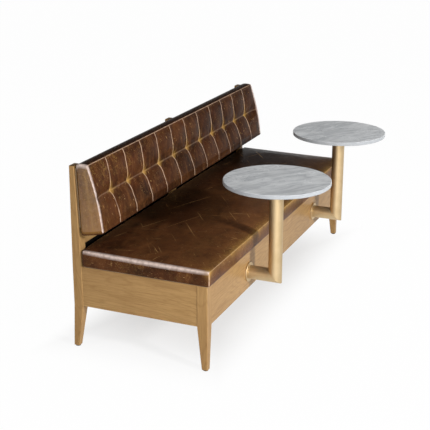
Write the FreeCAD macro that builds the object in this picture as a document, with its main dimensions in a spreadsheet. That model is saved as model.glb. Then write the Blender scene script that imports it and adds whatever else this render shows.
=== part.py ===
import FreeCAD, Part
import math
import os
import re
import Sketcher

# Restaurant bench: an oak frame with a leather seat pad, a tufted leather back cushion and two
# round marble tables on brass arms. X runs along the bench, Y from front to back, Z up. The origin
# lies on the floor, in the middle of the whole footprint with the tables. All sizes are in mm.

# Driving dimensions. Sizes in Y are taken from the front face of the legs.
SIZES = {
    # frame
    "bench_length": 1920,
    "frame_depth": 600,
    "seat_height": 460,
    "seat_pad_height": 70,
    "apron_height": 188,
    "leg_width": 48,
    "leg_foot_width": 27,
    "edge_chamfer": 2.2,
    "panel_thickness": 22,
    "panel_setback": 2,
    "panel_edge_chamfer": 1.5,
    "tenon_thickness": 9,
    "tenon_length": 19,
    "tenon_shoulder": 16,
    "tenon_clearance": 0.2,
    # back posts
    "post_depth": 45,
    "post_foot_depth": 27,
    "post_foot_rake": 10,
    "post_height": 844,
    "post_top_depth": 24,
    "post_front_lean": 16,
    # dark lining behind the seat pad
    "lining_thickness": 9,
    "lining_height": 78,
    # inner framing
    "rail_width": 38,
    "rail_height": 46,
    "bearer_width": 28,
    "bearer_height": 60,
    "bearer_gap": 12,
    "block_reach": 130,
    "block_height": 40,
    # seat pad
    "seat_front_overhang": 12,
    "seat_end_overhang": 4,
    "seat_rear_gap": 8,
    "seat_crown": 8,
    "seat_side_bulge": 3,
    "deck_thickness": 15,
    "deck_inset": 5,
    "deck_clearance": 0.3,
    # back cushion
    "back_top_height": 852,
    "back_bottom_height": 555,
    "back_top_thickness": 53,
    "back_bottom_thickness": 109,
    "back_bottom_drop": 21,
    "back_end_inset": 1,
    "column_count": 12,
    "tuft_depth": 15,
    "seam_bulge": 9,
    "biscuit_bulge": 13,
    "middle_seam_depth": 5,
    "end_knee": 9,
    "end_bulge": 3,
    "top_crown": 3,
    "board_thickness": 10,
    "board_inset": 12,
    # tables
    "arm_inset": 480,
    "arm_height": 285,
    "arm_reach": 128,
    "tube_diameter": 63.5,
    "tube_wall": 3,
    "flange_diameter": 92,
    "flange_thickness": 8,
    "flange_chamfer": 1.5,
    "table_height": 742,
    "top_diameter": 480,
    "top_thickness": 18,
    "top_edge_chamfer": 2,
    "plate_diameter": 200,
    "plate_thickness": 6,
    "backing_size": 120,
    "backing_thickness": 6,
    # fasteners
    "bolt_circle_diameter": 76,
    "bolt_diameter": 8,
    "bolt_head_width": 13,
    "bolt_head_height": 5.3,
    "bolt_engagement": 5,
    "screw_diameter": 5,
    "screw_head_diameter": 9.5,
    "screw_head_height": 3,
    "screw_engagement": 8,
    "screw_grip": 16,
    "back_screw_inset": 60,
    "hole_clearance": 0.2,
    # feet
    "glide_height": 5,
    "glide_diameter": 23,
    "glide_stem_diameter": 4,
    "glide_stem_length": 14,
    # length by which every cutting tool passes the face it cuts
    "overrun": 5,
}

# Sides of the many small shanks and holes of the fasteners
FASTENER_SIDES = 12
HEXAGON_SIDES = 6
GLIDE_SIDES = 24

# Places worked out from the driving dimensions
DERIVED = {
    "half_length": "bench_length / 2",
    "apron_top": "seat_height - seat_pad_height",
    "apron_bottom": "apron_top - apron_height",
    "panel_inner": "panel_setback + panel_thickness",
    "panel_middle": "panel_setback + panel_thickness / 2",
    "tenon_bottom": "apron_bottom + tenon_shoulder",
    "tenon_height": "apron_height - 2 * tenon_shoulder",
    "mortise_width": "tenon_thickness + 2 * tenon_clearance",
    "mortise_depth": "tenon_length + tenon_clearance",
    "rear_apron_middle": "post_depth - panel_middle",
    "rail_front": "frame_depth - rail_width",
    "front_y": "(arm_reach + top_diameter / 2 - frame_depth - post_depth - post_foot_rake) / 2",
    "arm_x": "half_length - arm_inset",
    "tube_radius": "tube_diameter / 2",
    "bearer_offset": "backing_size / 2 + bearer_gap + bearer_width / 2",
    "plate_bottom": "table_height - top_thickness - plate_thickness",
    "seat_front": "0 - seat_front_overhang",
    "seat_rear": "frame_depth - seat_rear_gap",
    "seat_half": "half_length + seat_end_overhang",
    "post_slope": "post_front_lean / (post_height - apron_top)",
    "back_low_screw": "back_bottom_height + back_screw_inset",
    "back_high_screw": "post_height - back_screw_inset",
    "board_bottom": "back_bottom_height + board_inset",
    "board_top": "post_height - board_inset",
    "head_hole_radius": "screw_head_diameter / 2 + hole_clearance",
    "screw_hole_radius": "screw_diameter / 2 + hole_clearance",
    "bolt_hole_radius": "bolt_diameter / 2 + hole_clearance",
    "screw_hole_depth": "screw_engagement + hole_clearance",
    "bolt_step": "bolt_circle_diameter / sqrt(8)",
    "block_end": "panel_inner + block_reach",
    "front_block_hole": "leg_width + block_reach / 5",
    "rear_block_hole": "block_reach / 4",
    "bearer_length": "rail_front - panel_inner",
}

doc = FreeCAD.newDocument("RestaurantBench")
sheet = doc.addObject("Spreadsheet::Sheet", "Sizes")
for row, (alias, size) in enumerate(SIZES.items(), start=1):
    sheet.set(f"A{row}", alias)
    sheet.set(f"B{row}", str(size))
    sheet.setAlias(f"B{row}", alias)
doc.recompute()

Vector = FreeCAD.Vector
nodes = []


def bind(text):
    """The expression on the sheet's cells that a text in plain size names stands for."""
    def cell(match):
        word = match.group()
        if word in DERIVED:
            return f"({bind(DERIVED[word])})"
        return f"Sizes.{word}" if word in SIZES else word
    return re.sub(r"[a-z_]+", cell, text)


def value(text):
    """The number that a text in size names comes to."""
    return float(sheet.evalExpression(bind(text)))


def place(item, x, y, z):
    """Bind an object's position, with Y counted from the front face of the legs."""
    for axis, text in zip("xyz", (x, f"front_y + {y}", z)):
        item.setExpression(f"Placement.Base.{axis}", bind(text))


def new_body(label, x="0", y="0", z="0"):
    body = doc.addObject("PartDesign::Body", label)
    body.Label = label
    place(body, x, y, z)
    nodes.append(body)
    return body


def new_sketch(body, plane, offset="0"):
    sketch = body.newObject("Sketcher::SketchObject", "Sketch")
    sketch.AttachmentSupport = [(next(f for f in body.Origin.OriginFeatures if f.Role == plane), "")]
    sketch.MapMode = "FlatFace"
    sketch.setExpression("AttachmentOffset.Base.z", bind(offset))
    return sketch


def pin(sketch, geometry, end, x, y):
    """Fix one end of a sketch line at a place given in size names."""
    for kind, text in (("DistanceX", x), ("DistanceY", y)):
        index = sketch.addConstraint(Sketcher.Constraint(kind, -1, 1, geometry, end, value(text)))
        sketch.setExpression(f"Constraints[{index}]", bind(text))


def flat_point(x, y):
    return Vector(value(x), value(y), 0)


def outline(body, plane, points, offset="0"):
    """A closed outline of straight lines through points given in size names."""
    sketch = new_sketch(body, plane, offset)
    count = len(points)
    for index, point in enumerate(points):
        following = points[(index + 1) % count]
        sketch.addGeometry(Part.LineSegment(flat_point(*point), flat_point(*following)))
    for index, point in enumerate(points):
        sketch.addConstraint(Sketcher.Constraint("Coincident", index, 2, (index + 1) % count, 1))
        pin(sketch, index, 1, *point)
    return sketch


def circles(body, plane, offset, diameters):
    """Circles about the plane's own origin."""
    sketch = new_sketch(body, plane, offset)
    for diameter in diameters:
        index = sketch.addGeometry(Part.Circle(Vector(), Vector(0, 0, 1), value(diameter) / 2))
        sketch.addConstraint(Sketcher.Constraint("Coincident", index, 3, -1, 1))
        limit = sketch.addConstraint(Sketcher.Constraint("Diameter", index, value(diameter)))
        sketch.setExpression(f"Constraints[{limit}]", bind(diameter))
    return sketch


def leg_section(body, height, x_range, y_range):
    """A level rectangle with eased corners, for lofted legs."""
    (left, right), (front, rear) = x_range, y_range
    ease = "edge_chamfer"
    points = [(f"{left} + {ease}", front), (f"{right} - {ease}", front),
              (right, f"{front} + {ease}"), (right, f"{rear} - {ease}"),
              (f"{right} - {ease}", rear), (f"{left} + {ease}", rear),
              (left, f"{rear} - {ease}"), (left, f"{front} + {ease}")]
    return outline(body, "XY_Plane", points, height)


def loft(body, sections):
    feature = body.newObject("PartDesign::AdditiveLoft", "Loft")
    feature.Profile = sections[0]
    feature.Sections = sections[1:]
    feature.Ruled = True
    return feature


def pad(body, sketch, length, symmetric=False):
    feature = body.newObject("PartDesign::Pad", "Pad")
    feature.Profile = sketch
    feature.setExpression("Length", bind(length))
    feature.SideType = "Symmetric" if symmetric else "One side"
    return feature


def pocket(body, sketch, length):
    """Cut a sketch right through, the same length to either side."""
    doc.recompute()
    before = body.Shape.Volume
    feature = body.newObject("PartDesign::Pocket", "Pocket")
    feature.Profile = sketch
    feature.setExpression("Length", bind(length))
    feature.SideType = "Symmetric"
    doc.recompute()
    if body.Shape.Volume >= before:
        raise RuntimeError(f"{body.Label}: a pocket cuts nothing")


def set_place(feature, corner):
    for axis, text in zip("xyz", corner):
        feature.setExpression(f"Placement.Base.{axis}", bind(text))


def box(body, kind, corner, size):
    """Add or cut a box with its low corner and size given in size names."""
    feature = body.newObject(f"PartDesign::{kind}Box", "Box")
    for name, text in zip(("Length", "Width", "Height"), size):
        feature.setExpression(name, bind(text))
    set_place(feature, corner)
    return feature


def peg(body, kind, start, radius, length, axis):
    """Add or cut a fastener's shank or hole, from a start point along +X, +Y or +Z."""
    feature = body.newObject(f"PartDesign::{kind}Prism", "Peg")
    feature.Polygon = FASTENER_SIDES
    feature.setExpression("Circumradius", bind(radius))
    feature.setExpression("Height", bind(length))
    feature.Placement = FreeCAD.Placement(Vector(), FreeCAD.Rotation(Vector(0, 0, 1), Vector(*axis)))
    set_place(feature, start)
    return feature


def dress(body, kind, size_name, size, wanted):
    """Fillet or chamfer those edges of the body's last feature that the test picks."""
    doc.recompute()
    base = body.Tip
    names = [f"Edge{number}" for number, edge in enumerate(base.Shape.Edges, start=1) if wanted(edge)]
    feature = body.newObject(f"PartDesign::{kind}", kind)
    feature.Base = (base, names)
    feature.setExpression(size_name, bind(size))


def long_edges(length_name, share=0.9):
    """A test for edges that are at least a share of a named length."""
    limit = value(length_name) * share
    return lambda edge: edge.Length > limit


def group(label, shape, places):
    """One node of like solids, set at places counted from the front face of the legs."""
    solids = []
    for spot in places:
        solid = shape.copy()
        solid.translate(Vector(*spot))
        solids.append(solid)
    node = doc.addObject("Part::Feature", label)
    node.Label = label
    node.Shape = Part.makeCompound(solids)
    node.Placement = FreeCAD.Placement(Vector(0, value("front_y"), 0), FreeCAD.Rotation())
    nodes.append(node)


def soft_node(label, shape):
    """A lofted soft solid as a node of its own."""
    group(label, shape, [(0, 0, 0)])


# Legs and posts: rounded sections lofted from foot to top. "near" is the outer face.

def inner_faces(side, width):
    """X range of a section that keeps the outer face straight and tapers the inner one."""
    return ("0", width) if side < 0 else (f"leg_width - {width}", "leg_width")


def glide_socket(body, x, y):
    peg(body, "Subtractive", (x, y, "glide_height - overrun"), "glide_stem_diameter / 2 + hole_clearance",
         "glide_stem_length + overrun + hole_clearance", (0, 0, 1))


def end_x(side):
    """X of the low corner of a leg at the left or right end."""
    return "0 - half_length" if side < 0 else "half_length - leg_width"


def panel_x(side):
    """Middle of an end panel inside the leg's own width."""
    return "panel_middle" if side < 0 else "leg_width - panel_middle"


def mortise_x(body, side, y_middle):
    """Mortise in the inner X face of a leg for the tenon of an apron."""
    x = "leg_width - mortise_depth" if side < 0 else "0 - overrun"
    box(body, "Subtractive", (x, f"{y_middle} - mortise_width / 2", "tenon_bottom - tenon_clearance"),
        ("mortise_depth + overrun", "mortise_width", "tenon_height + 2 * tenon_clearance"))


def mortise_y(body, side, y_start):
    """Mortise for the tenon of an end panel."""
    box(body, "Subtractive",
        (f"{panel_x(side)} - mortise_width / 2", y_start, "tenon_bottom - tenon_clearance"),
        ("mortise_width", "mortise_depth + overrun", "tenon_height + 2 * tenon_clearance"))


def foot_middle_x(side):
    return "leg_foot_width / 2" if side < 0 else "leg_width - leg_foot_width / 2"


def front_leg(label, side):
    body = new_body(label, end_x(side))
    heights = (("glide_height", "leg_foot_width"), ("apron_bottom", "leg_width"), ("apron_top", "leg_width"))
    loft(body, [leg_section(body, height, inner_faces(side, width), ("0", width))
                for height, width in heights])
    mortise_x(body, side, "panel_middle")
    mortise_y(body, side, "leg_width - mortise_depth")
    glide_socket(body, foot_middle_x(side), "leg_foot_width / 2")


def back_screw_holes(body):
    """Counterbored holes from the rear for the screws that hold the back board."""
    for height in ("back_low_screw", "back_high_screw"):
        face = f"post_slope * ({height} - apron_top)"
        peg(body, "Subtractive", ("leg_width / 2", f"{face} - overrun", height), "screw_hole_radius",
             "screw_grip + 2 * overrun", (0, 1, 0))
        peg(body, "Subtractive", ("leg_width / 2", f"{face} + screw_grip", height), "head_hole_radius",
             "post_depth", (0, 1, 0))


def post_sections(body, side):
    """Sections of a post from the apron's bottom up, with Y counted from its front face there."""
    whole = ("0", "leg_width")
    lean = ("post_front_lean", "post_front_lean + post_top_depth")
    sections = [("apron_bottom", whole, ("0", "post_depth")),
                ("apron_top", whole, ("0", "post_depth")),
                ("post_height", whole, lean)]
    if side:
        rear = "post_depth + post_foot_rake"
        foot = ("glide_height", inner_faces(side, "leg_foot_width"), (f"{rear} - post_foot_depth", rear))
        sections.insert(0, foot)
    return [leg_section(body, height, x_range, y_range) for height, x_range, y_range in sections]


def end_post(label, side):
    body = new_body(label, end_x(side), "frame_depth")
    loft(body, post_sections(body, side))
    mortise_x(body, side, "rear_apron_middle")
    mortise_y(body, side, "0 - overrun")
    back_screw_holes(body)
    glide_socket(body, foot_middle_x(side), "post_depth + post_foot_rake - post_foot_depth / 2")


def centre_post(label):
    """Middle post: it stops at the bottom of the rear aprons, which are tenoned into it."""
    body = new_body(label, "0 - leg_width / 2", "frame_depth")
    loft(body, post_sections(body, 0))
    for side in (-1, 1):
        mortise_x(body, side, "rear_apron_middle")
    back_screw_holes(body)


# Panels with a tenon at either end

def end_panel(label, side):
    x = "panel_setback - half_length" if side < 0 else "half_length - panel_inner"
    body = new_body(label, x, "leg_width", "apron_bottom")
    box(body, "Additive", ("0", "0", "0"), ("panel_thickness", "frame_depth - leg_width", "apron_height"))
    dress(body, "Chamfer", "Size", "panel_edge_chamfer", long_edges("frame_depth - leg_width"))
    box(body, "Additive",
        ("panel_thickness / 2 - tenon_thickness / 2", "0 - tenon_length", "tenon_shoulder"),
        ("tenon_thickness", "frame_depth - leg_width + 2 * tenon_length", "tenon_height"))


def apron(label, x_start, length, y_front):
    body = new_body(label, x_start, y_front, "apron_bottom")
    box(body, "Additive", ("0", "0", "0"), (length, "panel_thickness", "apron_height"))
    dress(body, "Chamfer", "Size", "panel_edge_chamfer", long_edges(length))
    box(body, "Additive",
        ("0 - tenon_length", "panel_thickness / 2 - tenon_thickness / 2", "tenon_shoulder"),
        (f"{length} + 2 * tenon_length", "tenon_thickness", "tenon_height"))
    return body


def bolt_offsets():
    """The four bolts of an arm, as signs on half the square that the bolt circle holds."""
    return [(x, z) for x in (-1, 1) for z in (-1, 1)]


def front_apron():
    body = apron("front_apron", "leg_width - half_length", "bench_length - 2 * leg_width", "panel_setback")
    for side in (-1, 1):
        for across, up in bolt_offsets():
            x = f"half_length - leg_width + {side} * arm_x + {across} * bolt_step"
            z = f"arm_height - apron_bottom + {up} * bolt_step"
            peg(body, "Subtractive", (x, "0 - overrun", z), "bolt_hole_radius",
                "panel_thickness + 2 * overrun", (0, 1, 0))


def rear_apron(label, side):
    length = "half_length - 3 * leg_width / 2"
    x = "leg_width - half_length" if side < 0 else "leg_width / 2"
    apron(label, x, length, "frame_depth + post_depth - panel_inner")


def rear_lining(label, side):
    """Thin board between two posts, glued on the rear apron, behind the seat pad."""
    x = "leg_width - half_length" if side < 0 else "leg_width / 2"
    body = new_body(label, x, "frame_depth + rear_apron_middle - lining_thickness / 2", "apron_top")
    box(body, "Additive", ("0", "0", "0"),
        ("half_length - 3 * leg_width / 2", "lining_thickness", "lining_height"))


# Inner framing under the seat

def rear_seat_rail():
    body = new_body("rear_seat_rail", "panel_inner - half_length", "rail_front", "apron_top - rail_height")
    box(body, "Additive", ("0", "0", "0"), ("bench_length - 2 * panel_inner", "rail_width", "rail_height"))


def deck_screw_hole(body, x, y, height):
    """Counterbored hole from below, the grip short of the top."""
    peg(body, "Subtractive", (x, y, "0 - overrun"), "head_hole_radius",
        f"{height} - screw_grip + overrun", (0, 0, 1))
    peg(body, "Subtractive", (x, y, "0"), "screw_hole_radius", f"{height} + overrun", (0, 0, 1))


def bearer(label, x_middle):
    body = new_body(label, f"{x_middle} - bearer_width / 2", "panel_inner", "apron_top - bearer_height")
    box(body, "Additive", ("0", "0", "0"), ("bearer_width", "bearer_length", "bearer_height"))


def block_hole(side, front):
    """Place of the deck screw in a corner block."""
    if front:
        return f"{side} * (half_length - front_block_hole)", "front_block_hole"
    return f"{side} * (half_length - panel_inner - rear_block_hole)", "rail_front - rear_block_hole"


def corner_block(label, side, front):
    """Braces a corner; a front one is notched round the leg, a rear one sits on the seat rail."""
    def across(text):
        return f"{side} * (half_length - ({text}))"

    if front:
        points = [(across("leg_width"), "panel_inner"), (across("block_end"), "panel_inner"),
                  (across("panel_inner"), "block_end"), (across("panel_inner"), "leg_width"),
                  (across("leg_width"), "leg_width")]
    else:
        points = [(across("panel_inner"), "rail_front"), (across("block_end"), "rail_front"),
                  (across("panel_inner"), "rail_front - block_reach")]
    body = new_body(label, "0", "0", "apron_top - block_height")
    pad(body, outline(body, "XY_Plane", points), "block_height")
    deck_screw_hole(body, *block_hole(side, front), "block_height")


# Seat

def block_holes():
    """Places of all deck screws."""
    return [block_hole(side, front) for side in (-1, 1) for front in (True, False)]


def seat_deck():
    body = new_body("seat_deck", "deck_inset - seat_half", "seat_front + deck_inset", "apron_top")
    box(body, "Additive", ("0", "0", "0"),
        ("2 * (seat_half - deck_inset)", "seat_rear - seat_front - 2 * deck_inset", "deck_thickness"))
    for x, y in block_holes():
        spot = (f"{x} + seat_half - deck_inset", f"{y} - seat_front - deck_inset", "0 - overrun")
        peg(body, "Subtractive", spot, "screw_hole_radius", "screw_hole_depth + overrun", (0, 0, 1))


def arc_edge(start, middle, end):
    return Part.Arc(start, middle, end).toShape()


def bulged_edge(start, end, bulge, outward):
    """An arc from start to end whose middle stands out by the bulge."""
    if not bulge:
        return Part.makeLine(start, end)
    return arc_edge(start, (start + end) / 2 + outward * bulge, end)


def seat_section(x, crown_share):
    """Cross-section of the seat pad: boxed sides that swell a little, and a crowned top."""
    front = value("seat_front")
    rear = value("seat_rear")
    low = value("apron_top")
    high = value("seat_height")
    bulge = value("seat_side_bulge")
    corners = [Vector(x, front, low), Vector(x, rear, low), Vector(x, rear, high), Vector(x, front, high)]
    outward = [Vector(0, 0, -1), Vector(0, 1, 0), Vector(0, 0, 1), Vector(0, -1, 0)]
    bulges = [0, bulge, value("seat_crown") * crown_share, bulge]
    edges = []
    for index, corner in enumerate(corners):
        following = corners[(index + 1) % len(corners)]
        edges.append(bulged_edge(corner, following, bulges[index], outward[index]))
    return Part.Wire(edges)


# Crown of the seat pad along its length: place as a share of the half length, and height share
SEAT_CROWN_SHARES = [(1, 0.1), (0.985, 0.45), (0.95, 0.8), (0.88, 1)]


def seat_cushion():
    half = value("seat_half")
    shares = SEAT_CROWN_SHARES
    stations = [(-place_share * half, crown) for place_share, crown in shares]
    stations += [(place_share * half, crown) for place_share, crown in reversed(shares)]
    pad_shape = Part.makeLoft([seat_section(x, crown) for x, crown in stations], True, True)
    room = value("deck_inset - deck_clearance")
    spare = value("overrun")
    recess = Part.makeBox(
        2 * (half - room), value("seat_rear - seat_front") - 2 * room,
        value("deck_thickness + deck_clearance") + spare,
        Vector(room - half, value("seat_front") + room, value("apron_top") - spare))
    soft_node("seat_cushion", pad_shape.cut(recess))


# Back

def rear_plane_y(height):
    """Y of the posts' leaning front face at a height."""
    return value(f"frame_depth + post_slope * ({height} - apron_top)")


def board_point(x, height, thickness="0"):
    """Point of the back cushion at a height, so far in front of the back board."""
    return Vector(x, rear_plane_y(height) - value(f"board_thickness + {thickness}"), value(height))


def back_section(x, middle_depth, bulge):
    """Cross-section of the back cushion: two swelling rows that meet in the sewn middle seam."""
    top = board_point(x, "back_top_height", "back_top_thickness")
    bottom = board_point(x, "back_bottom_height", "back_bottom_thickness")
    rear_low = board_point(x, "back_bottom_height - back_bottom_drop")
    rear_high = board_point(x, "back_top_height")
    along = (top - bottom).normalize()
    outward = Vector(0, -along.z, along.y)
    middle = (top + bottom) / 2 - outward * middle_depth
    return Part.Wire([
        bulged_edge(top, middle, bulge, outward),
        bulged_edge(middle, bottom, bulge, outward),
        Part.makeLine(bottom, rear_low),
        Part.makeLine(rear_low, rear_high),
        bulged_edge(rear_high, top, value("top_crown"), Vector(0, 0, 1)),
    ])


# One column from seam to seam: place as a share of its width, and how much of the way from the
# seam's form to the full biscuit the cushion has come there
COLUMN_SHARES = [(0, 0), (0.12, 0.5), (0.3, 0.88), (0.5, 1), (0.7, 0.88), (0.88, 0.5)]


def back_cushion():
    half = value("half_length - back_end_inset")
    count = int(value("column_count"))
    width = 2 * half / count
    tuft = value("tuft_depth")
    seam = value("seam_bulge")
    middle = value("middle_seam_depth")
    full = value("biscuit_bulge")
    end_bulge = value("end_bulge")
    end_depth = -value("end_knee")
    sections = []
    for column in range(count):
        for place_share, form_share in COLUMN_SHARES:
            x = width * (column + place_share) - half
            if x == -half:
                sections.append(back_section(x, end_depth, end_bulge))
                continue
            first_half = column == 0 and place_share < 0.5
            last_half = column == count - 1 and place_share > 0.5
            at_end = first_half or last_half
            depth_start, bulge_start = (end_depth, end_bulge) if at_end else (tuft, seam)
            sections.append(back_section(x, depth_start + (middle - depth_start) * form_share,
                                         bulge_start + (full - bulge_start) * form_share))
    sections.append(back_section(half, end_depth, end_bulge))
    soft_node("back_cushion", Part.makeLoft(sections, True, True))


def back_board():
    """Plywood that carries the back cushion, lying on the posts' leaning front faces."""
    def face(height):
        return f"frame_depth + post_slope * ({height} - apron_top)"

    low = face("board_bottom")
    high = face("board_top")
    points = [(f"{low} - board_thickness", "board_bottom"), (low, "board_bottom"),
              (high, "board_top"), (f"{high} - board_thickness", "board_top")]
    body = new_body("back_board")
    pad(body, outline(body, "YZ_Plane", points), "bench_length - 2 * board_inset", symmetric=True)
    for x in POST_MIDDLES:
        for height in ("back_low_screw", "back_high_screw"):
            peg(body, "Subtractive", (x, f"{face(height)} - screw_hole_depth", height), "screw_hole_radius",
                 "screw_hole_depth + overrun", (0, 1, 0))


# Tables

def side_name(side):
    return "left" if side < 0 else "right"


def table_flange(side):
    """Round flange on the apron's face, with blind threaded holes for the bolts from inside."""
    body = new_body(f"{side_name(side)}_table_flange", f"{side} * arm_x", "panel_setback", "arm_height")
    pad(body, circles(body, "XZ_Plane", "0", ["flange_diameter"]), "flange_thickness")
    doc.recompute()
    face_y = -value("flange_thickness")
    dress(body, "Chamfer", "Size", "flange_chamfer",
          lambda edge: edge.BoundBox.YLength < abs(face_y) / 2 and edge.CenterOfMass.y < face_y / 2)
    for across, up in bolt_offsets():
        spot = (f"{across} * bolt_step", "0 - bolt_engagement - hole_clearance", f"{up} * bolt_step")
        peg(body, "Subtractive", spot, "bolt_hole_radius",
            "bolt_engagement + hole_clearance + overrun", (0, 1, 0))


def table_arm(side):
    """Level tube from the flange out to the mitre under the table."""
    body = new_body(f"{side_name(side)}_table_arm", f"{side} * arm_x", "0 - arm_reach", "arm_height")
    start = "arm_reach + panel_setback - flange_thickness"
    ring = circles(body, "XZ_Plane", f"0 - ({start})", ["tube_diameter", "tube_diameter - 2 * tube_wall"])
    pad(body, ring, f"{start} + tube_radius")
    reach = "tube_radius + overrun"
    corner = outline(body, "YZ_Plane", [(f"0 - ({reach})", f"0 - ({reach})"), (reach, reach),
                                        (f"0 - ({reach})", reach)])
    pocket(body, corner, f"2 * ({reach})")


def table_upright(side):
    """Upright tube from the mitre to the plate under the marble."""
    body = new_body(f"{side_name(side)}_table_upright", f"{side} * arm_x", "0 - arm_reach", "arm_height")
    ring = circles(body, "XY_Plane", "0 - tube_radius", ["tube_diameter", "tube_diameter - 2 * tube_wall"])
    pad(body, ring, "plate_bottom - arm_height + tube_radius")
    reach = "tube_radius + overrun"
    corner = outline(body, "YZ_Plane", [(f"0 - ({reach})", f"0 - ({reach})"), (reach, f"0 - ({reach})"),
                                        (reach, reach)])
    pocket(body, corner, f"2 * ({reach})")


def table_plate(side):
    body = new_body(f"{side_name(side)}_table_plate", f"{side} * arm_x", "0 - arm_reach", "plate_bottom")
    pad(body, circles(body, "XY_Plane", "0", ["plate_diameter"]), "plate_thickness")


def marble_top(side):
    body = new_body(f"{side_name(side)}_marble_top", f"{side} * arm_x", "0 - arm_reach",
                    "table_height - top_thickness")
    pad(body, circles(body, "XY_Plane", "0", ["top_diameter"]), "top_thickness")
    thin = value("top_thickness") / 2
    dress(body, "Chamfer", "Size", "top_edge_chamfer", lambda edge: edge.BoundBox.ZLength < thin)


def backing_plate(side):
    """Steel plate inside the apron that spreads the load of an arm's bolts."""
    body = new_body(f"{side_name(side)}_backing_plate", f"{side} * arm_x", "panel_inner", "arm_height")
    box(body, "Additive", ("0 - backing_size / 2", "0", "0 - backing_size / 2"),
        ("backing_size", "backing_thickness", "backing_size"))
    for across, up in bolt_offsets():
        peg(body, "Subtractive", (f"{across} * bolt_step", "0 - overrun", f"{up} * bolt_step"),
            "bolt_hole_radius", "backing_thickness + 2 * overrun", (0, 1, 0))


# Fasteners and feet

def turned(shape, axis, angle):
    turned_shape = shape.copy()
    turned_shape.rotate(Vector(), axis, angle)
    return turned_shape


def prism(radius, length, sides):
    """Upright prism on the origin, with its corners on a circle."""
    turns = [2 * math.pi * corner / sides for corner in range(sides + 1)]
    corners = [Vector(radius * math.cos(turn), radius * math.sin(turn), 0) for turn in turns]
    return Part.Face(Part.makePolygon(corners)).extrude(Vector(0, 0, length))


def fastener(head_radius, head_height, head_sides, shank_radius, shank):
    """Fastener that points up: its head below the origin and its shank above it."""
    head = prism(head_radius, -head_height, head_sides)
    return head.fuse(prism(shank_radius, shank, FASTENER_SIDES)).removeSplitter()


def screw_shape(shank):
    return fastener(value("screw_head_diameter") / 2, value("screw_head_height"), FASTENER_SIDES,
                    value("screw_diameter") / 2, shank)


def arm_bolts():
    """Hexagon bolts from inside the apron into the flanges."""
    bolt = fastener(value("bolt_head_width") / math.sqrt(3), value("bolt_head_height"), HEXAGON_SIDES,
                    value("bolt_diameter") / 2,
                    value("backing_thickness + panel_thickness + bolt_engagement"))
    step = value("bolt_step")
    places = [(side * value("arm_x") + across * step, value("panel_inner + backing_thickness"),
               value("arm_height") + up * step)
              for side in (-1, 1) for across, up in bolt_offsets()]
    group("arm_bolts", turned(bolt, Vector(1, 0, 0), 90), places)


def deck_screws():
    height = value("apron_top - screw_grip")
    places = [(value(x), value(y), height) for x, y in block_holes()]
    group("deck_screws", screw_shape(value("screw_grip + screw_engagement")), places)


def back_screws():
    """Screws through the posts from the rear into the back board."""
    places = [(value(x), rear_plane_y(height) + value("screw_grip"), value(height))
              for x in POST_MIDDLES for height in ("back_low_screw", "back_high_screw")]
    screw = turned(screw_shape(value("screw_grip + screw_engagement")), Vector(1, 0, 0), 90)
    group("back_screws", screw, places)


def foot_glide(label, side, y_middle):
    """Round glide under a foot, with a stem in it."""
    body = new_body(label, f"{end_x(side)} + {foot_middle_x(side)}", y_middle)
    pad_sides = peg(body, "Additive", ("0", "0", "0"), "glide_diameter / 2", "glide_height", (0, 0, 1))
    pad_sides.Polygon = GLIDE_SIDES
    peg(body, "Additive", ("0", "0", "glide_height / 2"), "glide_stem_diameter / 2",
        "glide_height / 2 + glide_stem_length", (0, 0, 1))


BEARERS = {
    "left_outer_bearer": "0 - arm_x - bearer_offset",
    "left_inner_bearer": "0 - arm_x + bearer_offset",
    "centre_bearer": "0",
    "right_inner_bearer": "arm_x - bearer_offset",
    "right_outer_bearer": "arm_x + bearer_offset",
}
POST_MIDDLES = ["leg_width / 2 - half_length", "0", "half_length - leg_width / 2"]

for side in (-1, 1):
    front_leg(f"front_{side_name(side)}_leg", side)
    end_post(f"back_{side_name(side)}_post", side)
    end_panel(f"{side_name(side)}_end_panel", side)
    rear_apron(f"rear_apron_{side_name(side)}", side)
    rear_lining(f"rear_lining_{side_name(side)}", side)
    corner_block(f"front_{side_name(side)}_corner_block", side, True)
    corner_block(f"rear_{side_name(side)}_corner_block", side, False)
    foot_glide(f"front_{side_name(side)}_glide", side, "leg_foot_width / 2")
    foot_glide(f"rear_{side_name(side)}_glide", side,
               "frame_depth + post_depth + post_foot_rake - post_foot_depth / 2")
    table_flange(side)
    table_arm(side)
    table_upright(side)
    table_plate(side)
    marble_top(side)
    backing_plate(side)
centre_post("back_centre_post")
front_apron()
rear_seat_rail()
for label, x_middle in BEARERS.items():
    bearer(label, x_middle)
seat_deck()
seat_cushion()
back_board()
back_cushion()
arm_bolts()
deck_screws()
back_screws()

doc.recompute()
for item in doc.Objects:
    if "Invalid" in item.State or "Error" in item.State:
        raise RuntimeError(f"{item.Label} failed to recompute: {item.State}")
for node in nodes:
    if node.Shape.isNull() or not node.Shape.isValid():
        raise RuntimeError(f"{node.Label} has no valid shape")

os.makedirs("parts", exist_ok=True)
for node in nodes:
    node.Shape.exportStep(f"parts/{node.Label}.step")
print(f"{len(nodes)} nodes written")
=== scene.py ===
"""Restaurant bench with two fixed round tables: cushions, finishes and a plain studio stage."""

import math
from types import SimpleNamespace

import bpy
import numpy as np
from mathutils import Matrix, Vector


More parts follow.
